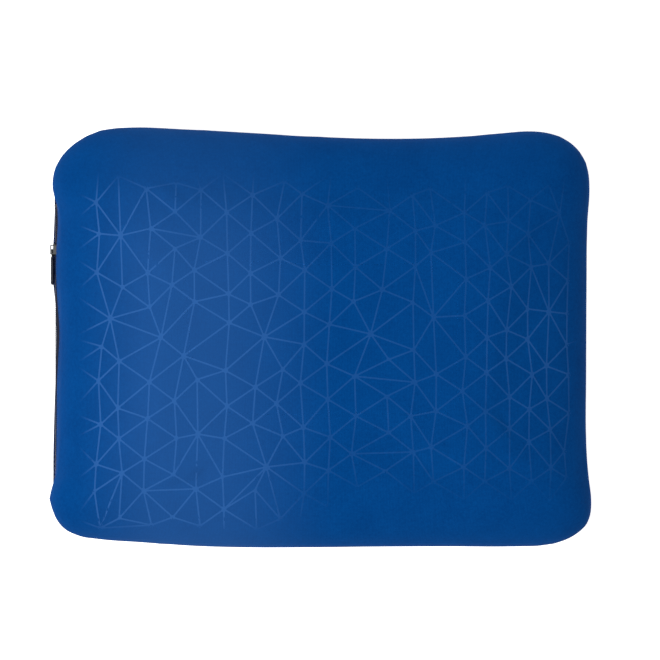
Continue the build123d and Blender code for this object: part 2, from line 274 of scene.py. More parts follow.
def moulded(name, base, edge, roughness, grain, coat=0.0):
    # plastic or rubber with a fine spark-eroded grain and slight handling marks
    material, shader, start = newMaterial(name, roughness, {
        "Specular IOR Level": 0.5,
        "Coat Weight": coat,
        "Coat Roughness": 0.25,
    })
    place = start.make("TexCoord", None, None, 3)
    fine = place.noise(grain * 3, 2, 0.6)
    marks = place.noise(grain / 6, 4, 0.65)
    plug(shader, "Base Color", (marks * 0.8 + fine * 0.35 - 0.1).held().colours(base, edge))
    plug(shader, "Roughness", (roughness - 0.1 + marks * 0.22).held())
    raiseBy(shader, fine, 0.02 * mm, 0.5)
    return material


def enamelled(name, base, edge):
    # black lacquer on metal, worn through on the busy spots
    material, shader, start = newMaterial(name, 0.34, {
        "Metallic": 0.55,
        "Coat Weight": 0.5,
        "Coat Roughness": 0.18,
    })
    place = start.make("TexCoord", None, None, 3)
    wear = place.noise(520, 4, 0.7)
    peel = place.noise(1400, 2, 0.5)
    worn = wear.fromTo(0.58, 0.78)
    plug(shader, "Base Color", worn.colours(base, edge))
    plug(shader, "Roughness", (0.28 + wear * 0.22).held())
    plug(shader, "Metallic", 0.45 + worn * 0.4)
    raiseBy(shader, peel, 0.015 * mm, 0.4)
    return material


def coatedFilm(name, base, light):
    # a fine ripstop grid under soft creases
    material, shader, start = newMaterial(name, 0.42, {
        "Specular IOR Level": 0.45,
        "Coat Weight": 0.2,
        "Coat Roughness": 0.35,
    })
    place = start.make("TexCoord", None, None, 3)
    x, y, z = place.parts()
    rate = 2 * math.pi / (0.8 * mm)
    grid = (((x + z) * rate).sine() * ((y + z) * rate).sine() * 0.5 + 0.5).held()
    creases = place.noise(22, 5, 0.62, 0.8)
    plug(shader, "Base Color", (creases * 0.8 + grid * 0.2).held().colours(base, light))
    plug(shader, "Roughness", (0.32 + creases * 0.25).held())
    raiseBy(shader, grid * 0.2 + creases * 4, 0.1 * mm, 0.6)
    return material


def openFoam(name, poreShade, wall):
    material, shader, start = newMaterial(name, 0.95, {"Specular IOR Level": 0.2})
    place = start.make("TexCoord", None, None, 3)
    cells = place.make("TexVoronoi", {"feature": "F1"}, {"Vector": place, "Scale": 900.0})
    tint = place.noise(9, 3, 0.6)
    rim = cells.fromTo(0.15, 0.62)
    # painted shade: the pores are painted darker, as the shade in their hollows, and the walls between them
    # lighter
    plug(shader, "Base Color", (rim * 0.7 + tint * 0.4).held().colours(poreShade, wall))
    raiseBy(shader, rim, 0.35 * mm, 0.8)
    return material


navyDeep, navyLight = colour(6, 12, 38), colour(20, 34, 74)
blueDeep, blueLight, blueInk = colour(0, 50, 108), colour(3, 74, 142), colour(42, 90, 153)
# the paler colour of the painted sheen
paintedSheenBlue = colour(44, 88, 148)
finishes = {
    "topKnit": knit("brushedKnitBlue", blueDeep, blueLight, paintedSheenColour=paintedSheenBlue),
    "baseKnit": knit("brushedKnitNavy", navyDeep, navyLight),
    "print": knit("tonalPrint", blueDeep, blueLight, paintedSheenColour=paintedSheenBlue, ink=blueInk),
    "tape": wovenTape("zipTapeNavy", colour(5, 7, 18), colour(24, 30, 54)),
    "binding": wovenTape("bindingTapeNavy", colour(8, 14, 36), colour(36, 46, 82), 0.9 * mm, 0.4),
    "thread": wovenTape("sewingThread", colour(16, 30, 72), colour(70, 88, 140), 0.3 * mm),
    "coil": moulded("coilNylon", colour(8, 11, 22), colour(34, 38, 56), 0.38, 700),
    "metal": enamelled("blackEnamel", colour(14, 15, 18), colour(92, 94, 98)),
    "grip": moulded("softGrip", colour(6, 8, 24), colour(16, 20, 44), 0.62, 600),
    "film": coatedFilm("bladderFilm", colour(120, 126, 132), colour(168, 173, 178)),
    "foam": openFoam("openCellFoam", colour(150, 138, 98), colour(228, 218, 176)),
    "hardValve": moulded("valveHard", colour(30, 33, 38), colour(52, 56, 62), 0.45, 500),
    "softValve": moulded("valveSoft", colour(22, 24, 28), colour(44, 47, 52), 0.66, 420),
    "button": moulded("valveButton", colour(134, 140, 146), colour(172, 177, 182), 0.34, 600, 0.3),
}


def dress(piece, finish, body):
    piece.data.materials.clear()
    piece.data.materials.append(finishes[finish])
    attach(piece, body)


# the cushion's shape

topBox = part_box("cover_top_panel")
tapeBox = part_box("zip_tape_upper")
seamZ = topBox[0].z
crownZ = topBox[1].z
wallX = topBox[0].x
tapeFaceX = tapeBox[0].x
zipHigh, zipLow = tapeBox[1].y - 3 * mm, tapeBox[0].y + 3 * mm   # the opening, inside the tape's two ends

cushion = {
    # the sleeping side's outline without its zip stretch, clockwise from the zip's head end
    "rim": [
        (-207.3, 112), (-207.2, 126), (-202.6, 137.2), (-191, 149.6), (-173, 159.2), (-150, 162.2),
        (-110, 161.2), (-55, 158.2), (0, 155.0), (58, 153.6), (105, 155.0), (140, 157.8), (165, 159.4),
        (184, 155.8), (198, 146.6), (206, 133.4), (208.2, 118), (206.6, 90), (206, 40), (205.6, -30),
        (205.4, -75), (207.4, -108), (209.6, -128), (207.6, -142.5), (197, -153.4), (180, -160.2),
        (150, -162.2), (100, -162.2), (50, -162.4), (-10, -163), (-60, -163), (-100, -161.8), (-140, -159),
        (-172, -156.6), (-190, -153.2), (-200, -147.6), (-207, -136.5), (-210, -125.5), (-208.4, -117.5),
    ],
    "topByZip": [
        (-205.0, -109), (-203.9, -95), (-203.0, -70), (-202.6, -40), (-201.4, -12), (-201.2, 10),
        (-202.4, 32), (-204.0, 50), (-203.8, 64), (-203.0, 78), (-202.7, 92), (-203.8, 103),
    ],
    "baseByZip": [
        (-209.2, -109), (-209.3, -95), (-208.6, -70), (-207.4, -40), (-205.5, -12), (-205.4, 10),
        (-208.0, 32), (-210.2, 50), (-209.9, 64), (-208.9, 78), (-208.2, 92), (-207.6, 103),
    ],
    "crownRun": 105.0,
    "crownRise": 50.0,
    "crownSteps": 12,
    "underProfile": [
        (0.9, 51), (0.15, 48), (0.0, 44.5), (0.0, 41), (0.8, 37), (3.0, 32.6), (8, 27.2), (15, 23.9),
        (34, 17.55), (55, 10.73), (74, 4.9), (84, 2.0), (94, 0.7), (108, 0.0),
    ],
    "clothThickness": 1.2 * mm,
    "sideSlack": -0.05,
    "faceSlack": 1.4,
    "heldHalf": 7.0 * mm,
    "heldFade": 9.0 * mm,
    "voxel": 5.0 * mm,
    "pressure": 4.0,
    "stretchStiffness": 25,
    "bendStiffness": 0.6,
    "settleFrames": 20,
    "swellCap": 3.0 * mm,
    "dentCap": 0.3 * mm,
    "zipLip": 5.0 * mm,
    "zipCutDepth": 24 * mm,
    "zipCutRound": 2.4 * mm,
}


def topProfile():
    top = crownZ / mm
    profile = [(0.9, seamZ / mm), (0.2, 53.6), (0.0, 57)]
    rise = cushion["crownRise"]
    for step in range(cushion["crownSteps"] + 1):
        turn = math.pi / 2 * step / cushion["crownSteps"]
        profile.append((cushion["crownRun"] * (1 - math.cos(turn)), top - rise + rise * math.sin(turn)))
    return profile


def outlineLoop(points, inset):
    # a closed smooth curve through the points, drawn in by an inset
    curve = bpy.data.curves.new("outline", "CURVE")
    spline = curve.splines.new("BEZIER")
    spline.bezier_points.add(len(points) - 1)
    for knot, (x, y) in zip(spline.bezier_points, points):
        knot.co = (x * mm, y * mm, 0)
        knot.handle_left_type = knot.handle_right_type = "AUTO"
    spline.use_cyclic_u = True
    curve.resolution_u = 8
    holder = bpy.data.objects.new("outline", curve)
    loop = bpy.data.meshes.new_from_object(holder)
    bpy.data.objects.remove(holder)
    bpy.data.curves.remove(curve)
    bm = bmesh.new()
    bm.from_mesh(loop)
    bpy.data.meshes.remove(loop)
    halfWide, halfDeep = topBox[1].x, topBox[1].y
    shrink = Vector((1 - inset * mm / halfWide, 1 - inset * mm / halfDeep, 1))
    bmesh.ops.scale(bm, vec=shrink, verts=bm.verts[:])
    return bm


def raiseRings(bm, profile, inset):
    # grows a wall from the outline, ring by ring, and closes it
    edges = bm.edges[:]
    halfWide, halfDeep = topBox[1].x / mm - inset, topBox[1].y / mm - inset
    run, height = profile[0]
    bmesh.ops.scale(bm, vec=(1 - run / halfWide, 1 - run / halfDeep, 1), verts=bm.verts[:])
    for nextRun, nextHeight in profile[1:]:
        grown = bmesh.ops.extrude_edge_only(bm, edges=edges)["geom"]
        edges = [g for g in grown if isinstance(g, bmesh.types.BMEdge)]
        verts = [g for g in grown if isinstance(g, bmesh.types.BMVert)]
        wider = (1 - nextRun / halfWide) / (1 - run / halfWide)
        deeper = (1 - nextRun / halfDeep) / (1 - run / halfDeep)
        bmesh.ops.scale(bm, vec=(wider, deeper, 1), verts=verts)
        bmesh.ops.translate(bm, vec=(0, 0, (nextHeight - height) * mm), verts=verts)
        run, height = nextRun, nextHeight
    bmesh.ops.contextual_create(bm, geom=edges)


def cushionHalf(points, profile, inset, faceInset):
    bm = outlineLoop(points, inset)
    bmesh.ops.translate(bm, vec=(0, 0, profile[0][1] * mm), verts=bm.verts[:])
    top = profile[-1][1] > profile[0][1]
    squeezed = []
    reach = abs(profile[-1][1] - profile[0][1])
    for run, height in profile:
        share = 1 - abs(profile[-1][1] - height) / reach
        squeezed.append((run, height - faceInset * share * (1 if top else -1)))
    raiseRings(bm, squeezed, inset)
    return bm


def cushionBody(name, inset, faceInset, filled=False):
    # both halves, joined along the seam; filled also closes the whole step between them by the zip
    rim = cushion["rim"]
    upper = cushionHalf(rim + cushion["topByZip"], topProfile(), inset, faceInset)
    lower = cushionHalf(rim + cushion["baseByZip"], cushion["underProfile"], inset, faceInset)
    spare = bpy.data.meshes.new("spare")
    lower.to_mesh(spare)
    lower.free()
    upper.from_mesh(spare)
    bpy.data.meshes.remove(spare)
    bmesh.ops.remove_doubles(upper, verts=upper.verts[:], dist=0.01 * mm)
    gaps = [e for e in upper.edges if len(e.link_faces) == 1]
    if filled:
        bmesh.ops.triangle_fill(upper, edges=gaps, use_beauty=True)
    else:
        bmesh.ops.bridge_loops(upper, edges=gaps)
    bmesh.ops.triangulate(upper, faces=[f for f in upper.faces if len(f.verts) > 4])
    return addMesh(name, upper)


def inflate(piece):
    # air pressure on the remeshed cloth, then each point is held near where it started
    piece = withModifier(piece, "REMESH", mode="VOXEL", voxel_size=cushion["voxel"], use_smooth_shade=True)
    start = [(v.co.copy(), v.normal.copy()) for v in piece.data.vertices]
    held = piece.vertex_groups.new(name="seam")
    for vertex in piece.data.vertices:
        away = abs(vertex.co.z - seamZ) - cushion["heldHalf"]
        held.add([vertex.index], 1 - ease(away / cushion["heldFade"]), "REPLACE")
    cloth = piece.modifiers.new("air", "CLOTH")
    cloth.settings.vertex_group_mass = "seam"
    cloth.settings.use_pressure = True
    cloth.settings.uniform_pressure_force = cushion["pressure"]
    cloth.settings.effector_weights.gravity = 0
    cloth.settings.tension_stiffness = cushion["stretchStiffness"]
    cloth.settings.compression_stiffness = cushion["stretchStiffness"]
    cloth.settings.bending_stiffness = cushion["bendStiffness"]
    scene = bpy.context.scene
    for step in range(1, cushion["settleFrames"] + 1):
        scene.frame_set(step)
    applyModifiers(piece)
    scene.frame_set(1)
    for vertex, (home, outward) in zip(piece.data.vertices, start):
        move = vertex.co - home
        rise = move.dot(outward)
        move += outward * (min(max(rise, -cushion["dentCap"]), cushion["swellCap"]) - rise)
        vertex.co = home + move * min(1.0, cushion["swellCap"] / max(move.length, mm))
    return piece


# the valve's place

joints = {joint["name"]: joint for joint in frame["joints"]}
valveOut = -Vector(joints["release_press"]["axis"]).normalized()
valveSide = Vector(joints["plug_hinge"]["axis"]).normalized()
valveUp = valveOut.cross(valveSide)
valve = {
    "hingeReach": 17.4 * mm,
    "hingeHeight": 1.0 * mm,
    "window": 20.4 * mm,
    "cutDepth": 16 * mm,
    "flatReach": 27 * mm,   # the cloth is quite flat out to here
    "fadeReach": 2.2 * 27 * mm,
    "near": 15 * mm,        # and further off than this, up or down, it isn't the base
}
valveMiddle = Vector(joints["plug_hinge"]["pos_m"]) + valveUp * valve["hingeReach"]
valveMiddle -= valveOut * valve["hingeHeight"]
valveFrame = Matrix.Translation(valveMiddle) @ Matrix((valveSide, valveUp, valveOut)).transposed().to_4x4()


# fitting the swollen form to the frame

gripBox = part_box("zip_pull_grip")
gripTravel = gripBox[0].y - joints["zip_slide"]["range_m"][1]   # the open zip's pull reaches this far
seamFit = {
    "turnIn": 1.5 * mm,
    "turnBand": 5 * mm,
    "turnClear": 100 * mm,
    "turnPower": 5,
    "lipGap": 0.1 * mm,
    "lipAbove": 16 * mm,
    "lipBelow": 9.5 * mm,
    "lipFlat": 5.8 * mm,
    "endRun": 9 * mm,
    "endPast": 2 * mm,
    "gripGap": 0.7 * mm,
    "giveBand": 9 * mm,
    "giveFade": 4 * mm,
    "givePast": 7 * mm,
    "giveRun": 6 * mm,
    "giveFrom": 4 * mm,
}


def inZip(y):
    past, run = seamFit["endPast"], seamFit["endRun"]
    return ease((zipHigh + past - y) / run) * ease((y - zipLow + past) / run)


def flattenAtValve(piece, depth):
    # the weld keeps the cloth and the film flat round the valve
    inward = valveFrame.inverted()
    for vertex in piece.data.vertices:
        local = inward @ vertex.co
        away = math.hypot(local.x, local.y)
        if abs(local.z) < valve["near"] and away < valve["fadeReach"]:
            hold = ease((valve["fadeReach"] - away) / (valve["fadeReach"] - valve["flatReach"]))
            vertex.co -= valveOut * (local.z + depth) * hold


def fitCushion(piece):
    flattenAtValve(piece, 0.0)
    fit = seamFit
    lipX = wallX - fit["lipGap"]
    restX = gripBox[1].x + fit["gripGap"]
    for vertex in piece.data.vertices:
        co = vertex.co
        co.z = max(co.z, 0.0)   # it rests on the floor
        rise = co.z - seamZ
        zipHere = inZip(co.y) if co.x < 0 else 0.0
        # both panels turn in to the seam, except along the zip
        if abs(rise) < fit["turnBand"] and math.hypot(co.x, co.y) > fit["turnClear"]:
            wide, deep = co.x / topBox[1].x, co.y / topBox[1].y
            outward = Vector((wide ** fit["turnPower"], deep ** fit["turnPower"], 0)).normalized()
            near = (1 - abs(rise) / fit["turnBand"]) ** 1.5
            co -= outward * (fit["turnIn"] * near * (1 - zipHere))
        # the zip's lips stand in line with its tapes, and the base swells out under them
        reach = fit["lipAbove"] if rise > 0 else fit["lipBelow"]
        if zipHere > 0 and co.x < lipX and abs(rise) < reach:
            co.x += (lipX - co.x) * ease((reach - abs(rise)) / (reach - fit["lipFlat"])) * zipHere
        # past the foot end the wall gives way to the pull of the open zip
        if co.x < restX and co.y < zipLow + fit["giveFrom"] and abs(rise) < fit["giveBand"]:
            give = ease((co.y - gripTravel + fit["givePast"]) / fit["giveRun"])
            co.x += (restX - co.x) * give * ease((fit["giveBand"] - abs(rise)) / fit["giveFade"])


def wallLengths(profile):
    # how much longer the cloth is than its plan, at each height, from the crown or the sole to the seam
    table = [(profile[-1][1] * mm, 0.0)]
    total = 0.0
    steps = list(reversed(profile))
    for (runA, zA), (runB, zB) in zip(steps, steps[1:]):
        total += math.hypot(runA - runB, zA - zB) - abs(runA - runB)
        table.append((zB * mm, total * mm))
    return table


def lookUp(z, table):
    for (a, va), (b, vb) in zip(table, table[1:]):
        if min(a, b) <= z <= max(a, b):
            return va + (vb - va) * (z - a) / (b - a) if a != b else va
    return table[-1][1] if abs(z - table[-1][0]) < abs(z - table[0][0]) else 0.0


def flatMap(piece):
    # cloth coordinates: the plan view, carried on round the walls by their own length
    over, under = wallLengths(topProfile()), wallLengths(cushion["underProfile"])
    layer = piece.data.uv_layers.new(name="flat")
    mesh = piece.data
    for loop in mesh.loops:
        co = mesh.vertices[loop.vertex_index].co
        side = Vector((co.x / topBox[1].x ** 3 * abs(co.x), co.y / topBox[1].y ** 3 * abs(co.y)))
        side = side.normalized() if side.length > 0 else side
        more = lookUp(co.z, over if co.z >= seamZ else under)
        layer.data[loop.index].uv = (co.x + side.x * more, co.y + side.y * more)


def cutPanel(body, name, upper):
    # one side of the seam, as a shell of the cloth's thickness
    bm = bmesh.new()
    bm.from_mesh(body.data)
    bmesh.ops.bisect_plane(bm, geom=bm.verts[:] + bm.edges[:] + bm.faces[:], dist=0.05 * mm,
                           plane_co=(0, 0, seamZ), plane_no=(0, 0, -1 if upper else 1), clear_outer=True)
    shell = addMesh(name, bm, recalc=False)
    return withModifier(shell, "SOLIDIFY", thickness=cushion["clothThickness"], offset=-1,
                        use_even_offset=True)


def zipCutter():
    bm = bmesh.new()
    size = (cushion["zipCutDepth"], zipHigh - zipLow, 2 * cushion["zipLip"], 1)
    place = Matrix.Translation((wallX, (zipHigh + zipLow) / 2, seamZ))
    bmesh.ops.create_cube(bm, size=1, matrix=place @ Matrix.Diagonal(size))
    ends = [e for e in bm.edges if abs(e.verts[0].co.x - e.verts[1].co.x) > 10 * mm]
    bmesh.ops.bevel(bm, geom=ends, offset=cushion["zipCutRound"], segments=5, profile=0.5, affect="EDGES",
                    material=-1)
    return addMesh("zipCutter", bm)


def windowCutter():
    bm = bmesh.new()
    radius = valve["window"]
    bmesh.ops.create_cone(bm, cap_ends=True, segments=72, radius1=radius, radius2=radius,
                          depth=valve["cutDepth"], matrix=valveFrame)
    return addMesh("windowCutter", bm)


def subtract(piece, cutter):
    modifier = piece.modifiers.new("cut", "BOOLEAN")
    modifier.operation = "DIFFERENCE"
    modifier.solver = "EXACT"
    modifier.object = cutter
    applyModifiers(piece)
    bpy.data.objects.remove(cutter)
    return piece


def makeCovers():
    body = inflate(cushionBody("cushionForm", cushion["sideSlack"], cushion["faceSlack"]))
    body = withModifier(body, "SUBSURF", levels=1, render_levels=1)
    fitCushion(body)
    smoothFaces(body)
    top = subtract(cutPanel(body, "topCover", True), zipCutter())
    base = subtract(cutPanel(body, "baseCover", False), zipCutter())
    subtract(base, windowCutter())
    for piece in (top, base):
        smoothFaces(piece, 50)
        flatMap(piece)
    dress(top, "topKnit", "cushion")
    dress(base, "baseKnit", "cushion")
    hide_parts("cover_top_panel")
    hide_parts("cover_base_panel")
    print("covers:", len(top.data.polygons), len(base.data.polygons))
    return body


body = makeCovers()
bodyTree = BVHTree.FromObject(body, bpy.context.evaluated_depsgraph_get())


# the printed network of triangles

lines = {
    "columns": 24,
    "rows": 15,
    "column": 20.0,
    "row": 28.5,
    "corner": (-212, -178),
    "closesFrom": 14,       # past this column they close up, where the cloth turns away
    "columnCloses": 0.36,
    "rowCloses": 0.012,
    "jitter": 0.15,
    "drift": 0.14,
    "hubs": 0.025,
    "turned": 0.04,
    "width": 1.25 * mm,
    "star": 0.95 * mm,
    "thickness": 0.10 * mm,
    "lift": -0.03 * mm,
    "longEdge": 7.56 * mm,
    "longCuts": 6,
    "longTurned": 24 * mm,
    "flipped": 30 * mm * mm,
    "pane": 45 * mm * mm,
    "faintest": 0.07,
    "seed": 11,
}
# the print fades out at its own edges; across the top its strength also carries painted sheen
printAndSheenFade = {
    # each pair is a place and how far from it the change runs, in millimetres
    "zipSide": (-186, 18),
    "farSide": (199, 12),
    "headEdge": (128, 26),
    "footEdge": (-152, 14),
    "footRise": 10,
    "footRises": (-60, 60),
    "strongest": 0.88,
    "strongTo": (62, 150),
    "farPatch": 0.52,
    "farAcross": (172, 120),
    "farAlong": (-10, 150),
    "faint": 0.24,
    "middlePatch": 0.15,
    "middleAcross": (20, 120),
    "middleAlong": (-10, 90),
    "headLoss": 0.35,
    "headLossAlong": (20, 70),
    "headLossAcross": (-150, 60),
    "footLoss": 0.75,
    "footLossAlong": (-92, 30),
    "footLossAcross": (-70, 70),
}


def above(x, name):
    place, run = printAndSheenFade[name]
    return ease((x - place) / run)


def below(x, name):
    place, run = printAndSheenFade[name]
    return ease((place - x) / run)


def printAndSheenStrength(x, y):
    # print strength with painted sheen across the top: strong by the zip side, thin in the middle and along
    # the head edge, fuller again at the far side
    fade = printAndSheenFade
    footRun = fade["footEdge"][1]
    foot = ease((y - fade["footEdge"][0] - fade["footRise"] * above(x, "footRises")) / footRun)
    edges = above(x, "zipSide") * below(x, "farSide") * below(y, "headEdge") * foot
    near = fade["strongest"] * below(x, "strongTo")
    far = fade["farPatch"] * (bump(x, *fade["farAcross"]) * bump(y, *fade["farAlong"]))
    middle = fade["middlePatch"] * bump(x, *fade["middleAcross"]) * bump(y, *fade["middleAlong"])
    upper = 1 - fade["headLoss"] * above(y, "headLossAlong") * above(x, "headLossAcross")
    lower = 1 - fade["footLoss"] * below(y, "footLossAlong") * above(x, "footLossAcross")
    return edges * max(fade["faint"] + middle, near, far) * upper * lower


def lattice():
    # staggered columns of points joined in triangles
    random.seed(lines["seed"])
    columns, rows = lines["columns"], lines["rows"]
    drift = [random.uniform(-1, 1) * lines["drift"] for _ in range(columns + 1)]
    slide = [random.uniform(-1, 1) * lines["drift"] for _ in range(columns + 1)]
    bm = bmesh.new()
    bmesh.ops.create_grid(bm, x_segments=columns, y_segments=rows, size=0.5)
    for vertex in bm.verts:
        i = round((vertex.co.x + 0.5) * columns)
        j = round((vertex.co.y + 0.5) * rows)
        u = i + drift[i] + random.uniform(-1, 1) * lines["jitter"]
        v = j + (i % 2) / 2 + slide[i] + random.uniform(-1, 1) * lines["jitter"]
        reach = max(0.0, u - lines["closesFrom"])
        x = lines["corner"][0] + u * lines["column"] - reach * reach * lines["columnCloses"]
        y = lines["corner"][1] + v * lines["row"] * (1 - lines["rowCloses"] * reach)
        vertex.co = (x * mm, y * mm, 0)
    bmesh.ops.triangulate(bm, faces=bm.faces[:], quad_method="SHORT_EDGE")
    inside = [e for e in bm.edges if len(e.link_faces) == 2]
    picked = [e for e in inside if random.random() < lines["turned"]]
    turned = [e for e in picked if e.calc_length() > lines["longTurned"]]
    bmesh.ops.rotate_edges(bm, edges=turned, use_ccw=False)
    merging = [e for e in bm.edges if random.random() < lines["hubs"]]
    bmesh.ops.collapse(bm, edges=merging)
    flipped = [f for f in bm.faces if f.calc_area() < lines["flipped"]]
    bmesh.ops.delete(bm, geom=flipped, context="FACES")
    return bm


def printLines():
    bm = lattice()
    bmesh.ops.recalc_face_normals(bm, faces=bm.faces[:])
    crossings = set(bm.verts)
    bmesh.ops.inset_individual(bm, faces=bm.faces[:], thickness=lines["width"] / 2, use_even_offset=True)
    corners = [v for v in bm.verts if v not in crossings]
    bmesh.ops.bevel(bm, geom=corners, offset=lines["star"], offset_type="OFFSET", segments=1, profile=0.5,
                    affect="VERTICES", material=-1)
    panes = [f for f in bm.faces if f.calc_area() > lines["pane"]]
    bmesh.ops.delete(bm, geom=panes, context="FACES_ONLY")
    middles = [(f, f.calc_center_median() / mm) for f in bm.faces]
    faint = [f for f, middle in middles if printAndSheenStrength(middle.x, middle.y) < lines["faintest"]]
    bmesh.ops.delete(bm, geom=faint, context="FACES")
    longEdges = [e for e in bm.edges if e.calc_length() > lines["longEdge"]]
    bmesh.ops.subdivide_edges(bm, edges=longEdges, cuts=lines["longCuts"], use_grid_fill=True)
    bmesh.ops.triangulate(bm, faces=[f for f in bm.faces if len(f.verts) > 4])
    lost = []
    for vertex in bm.verts:
        hit = bodyTree.ray_cast(Vector((vertex.co.x, vertex.co.y, 0.2)), Vector((0, 0, -1)))
        if hit[0] is None or hit[1].z < 0.3:
            lost.append(vertex)
        else:
            vertex.co = hit[0] + hit[1] * lines["lift"]
    bmesh.ops.delete(bm, geom=lost, context="VERTS")
    grown = bmesh.ops.extrude_face_region(bm, geom=bm.faces[:])["geom"]
    upper = [g for g in grown if isinstance(g, bmesh.types.BMVert)]
    bmesh.ops.translate(bm, vec=(0, 0, lines["thickness"]), verts=upper)
    network = addMesh("coverPrint", bm)
    # the print's strength with its painted sheen, kept on each point for the shader
    ink = network.data.attributes.new("printAndSheenStrength", "FLOAT", "POINT")
    for vertex, spot in zip(network.data.vertices, ink.data):
        spot.value = printAndSheenStrength(vertex.co.x / mm, vertex.co.y / mm)
    flatMap(network)
    dress(network, "print", "cushion")
    print("print:", len(network.data.polygons))


printLines()


# the bladder and the foam

inner = {
    "filmSide": 7.6,
    "filmFace": 3.4,
    "filmThickness": 0.5 * mm,
    "filmDepth": 3.6 * mm,
    "filmHole": 0.665,      # of the cloth's window
    "seamGap": 0.3 * mm,
    "foamSide": 8.8,
    "foamFace": 4.6,
    "weldBand": 3.0,
    "channelRadius": 13.0 * mm,
    "channelPitch": 46.0 * mm,
    "channelCount": 7,
    "channelHeight": 56.0 * mm,
    "channelLength": 0.4,
    "pocketRadius": 24 * mm,
    "pocketDepth": 9.6 * mm,
}


def makeBladder():
    solid = cushionBody("bladderForm", inner["filmSide"], inner["filmFace"])
    withModifier(solid, "SUBSURF", levels=1, render_levels=1, subdivision_type="SIMPLE")
    flattenAtValve(solid, inner["filmDepth"])
    skins = []
    for name, node, side in (("bladderTop", "bladder_top_skin", 1), ("bladderBase", "bladder_base_skin", -1)):
        bm = bmesh.new()
        bm.from_mesh(solid.data)
        bmesh.ops.bisect_plane(bm, geom=bm.verts[:] + bm.edges[:] + bm.faces[:], dist=0.01 * mm,
                               plane_co=(0, 0, seamZ + side * inner["seamGap"]),
                               plane_no=(0, 0, -side), clear_outer=True)
        rim = [e for e in bm.edges if len(e.link_faces) == 1]
        grown = bmesh.ops.extrude_edge_only(bm, edges=rim)["geom"]
        band = [g for g in grown if isinstance(g, bmesh.types.BMVert)]
        wide, deep = topBox[1].x / mm, topBox[1].y / mm
        bmesh.ops.scale(bm, vec=(1 + inner["weldBand"] / wide, 1 + inner["weldBand"] / deep, 1), verts=band)
        skin = addMesh(name, bm, recalc=False)
        withModifier(skin, "SOLIDIFY", thickness=inner["filmThickness"], offset=-1)
        smoothFaces(skin, 40)
        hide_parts(node)
        skins.append(skin)
    cutter = windowCutter()
    narrower = Matrix.Diagonal((inner["filmHole"], inner["filmHole"], 1, 1))
    cutter.data.transform(valveFrame @ narrower @ valveFrame.inverted())
    subtract(skins[1], cutter)
    for skin in skins:
        dress(skin, "film", "cushion")
    bpy.data.objects.remove(solid)


def makeFoam():
    foam = cushionBody("foamCore", inner["foamSide"], inner["foamFace"], filled=True)
    for number in range(inner["channelCount"]):
        across = (number - (inner["channelCount"] - 1) / 2) * inner["channelPitch"]
        bm = bmesh.new()
        place = Matrix.Translation((across, 0, inner["channelHeight"])) @ Matrix.Rotation(math.pi / 2, 4, "X")
        bmesh.ops.create_cone(bm, cap_ends=True, segments=48, radius1=inner["channelRadius"],
                              radius2=inner["channelRadius"], depth=inner["channelLength"], matrix=place)
        subtract(foam, addMesh("channel", bm))
    bm = bmesh.new()
    bmesh.ops.create_cone(bm, cap_ends=True, segments=64, radius1=inner["pocketRadius"],
                          radius2=inner["pocketRadius"], depth=2 * inner["pocketDepth"], matrix=valveFrame)
    subtract(foam, addMesh("pocket", bm))
    smoothFaces(foam, 40)
    dress(foam, "foam", "cushion")
    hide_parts("foam_core")
    print("foam:", len(foam.data.polygons))


makeBladder()
makeFoam()


# the zip

zipParts = {
    "tapeThickness": 0.6 * mm,
    "gapHalf": 0.9 * mm,
    "tapeHalf": 12.0 * mm,
    "straightHalf": 3.9 * mm,
    "bendRun": 1.1 * mm,
    "clearOfCloth": 0.15 * mm,
    "tapeGrid": (74, 26),
    "pitch": 1.5 * mm,
    "wire": 0.24 * mm,
    "rowMiddle": 0.95 * mm,
    "rowReach": 1.45 * mm,
    "rowDepth": 0.5 * mm,
    "tailClosed": 1.5 * mm,
    "openSpread": 1.4 * mm,
    "meetRun": 21.0 * mm,
    "meetCurve": 0.7,
    "turnSteps": 12,
    "wireSides": 6,
}
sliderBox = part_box("zip_slider")
endStopBox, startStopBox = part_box("zip_end_stops"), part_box("zip_start_stop")


def openGap(y):
    # how far each row stands back from the middle: they part in the slider and meet again at the end stops
    tail, front = sliderBox[0].y + zipParts["tailClosed"], sliderBox[1].y
    parting = ease((y - tail) / (front - tail))
    meeting = ease((endStopBox[0].y - y) / zipParts["meetRun"]) ** zipParts["meetCurve"]
    return zipParts["openSpread"] * parting * meeting


def wallHit(y, z):
    # where the zip side's wall is met from outside
    return bodyTree.ray_cast(Vector((wallX - 0.05, y, z)), Vector((1, 0, 0)))


def makeTape(side, name, node):
    bm = bmesh.new()
    lengthwise, across = zipParts["tapeGrid"]
    bmesh.ops.create_grid(bm, x_segments=lengthwise, y_segments=across, size=0.5)
    for vertex in bm.verts:
        share = vertex.co.y + 0.5
        y = (tapeBox[0].y + tapeBox[1].y) / 2 + vertex.co.x * (tapeBox[1].y - tapeBox[0].y)
        rise = zipParts["gapHalf"] + share * (zipParts["tapeHalf"] - zipParts["gapHalf"])
        x = tapeFaceX
        z = seamZ + side * (rise + openGap(y) * (1 - share))
        follow = ease((rise - zipParts["straightHalf"]) / zipParts["bendRun"])
        if follow > 0:
            hit = wallHit(y, z)
            if hit[0] is not None:
                behind = hit[0].x + cushion["clothThickness"] + zipParts["clearOfCloth"]
                x += (behind - tapeFaceX) * follow
        vertex.co = (x, y, z)
    tape = addMesh(name, bm)
    if tape.data.polygons[0].normal.x > 0:
        tape.data.flip_normals()   # it faces out of the zip side
    withModifier(tape, "SOLIDIFY", thickness=zipParts["tapeThickness"], offset=-1)
    smoothFaces(tape, 40)
    dress(tape, "tape", "cushion")
    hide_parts(node)


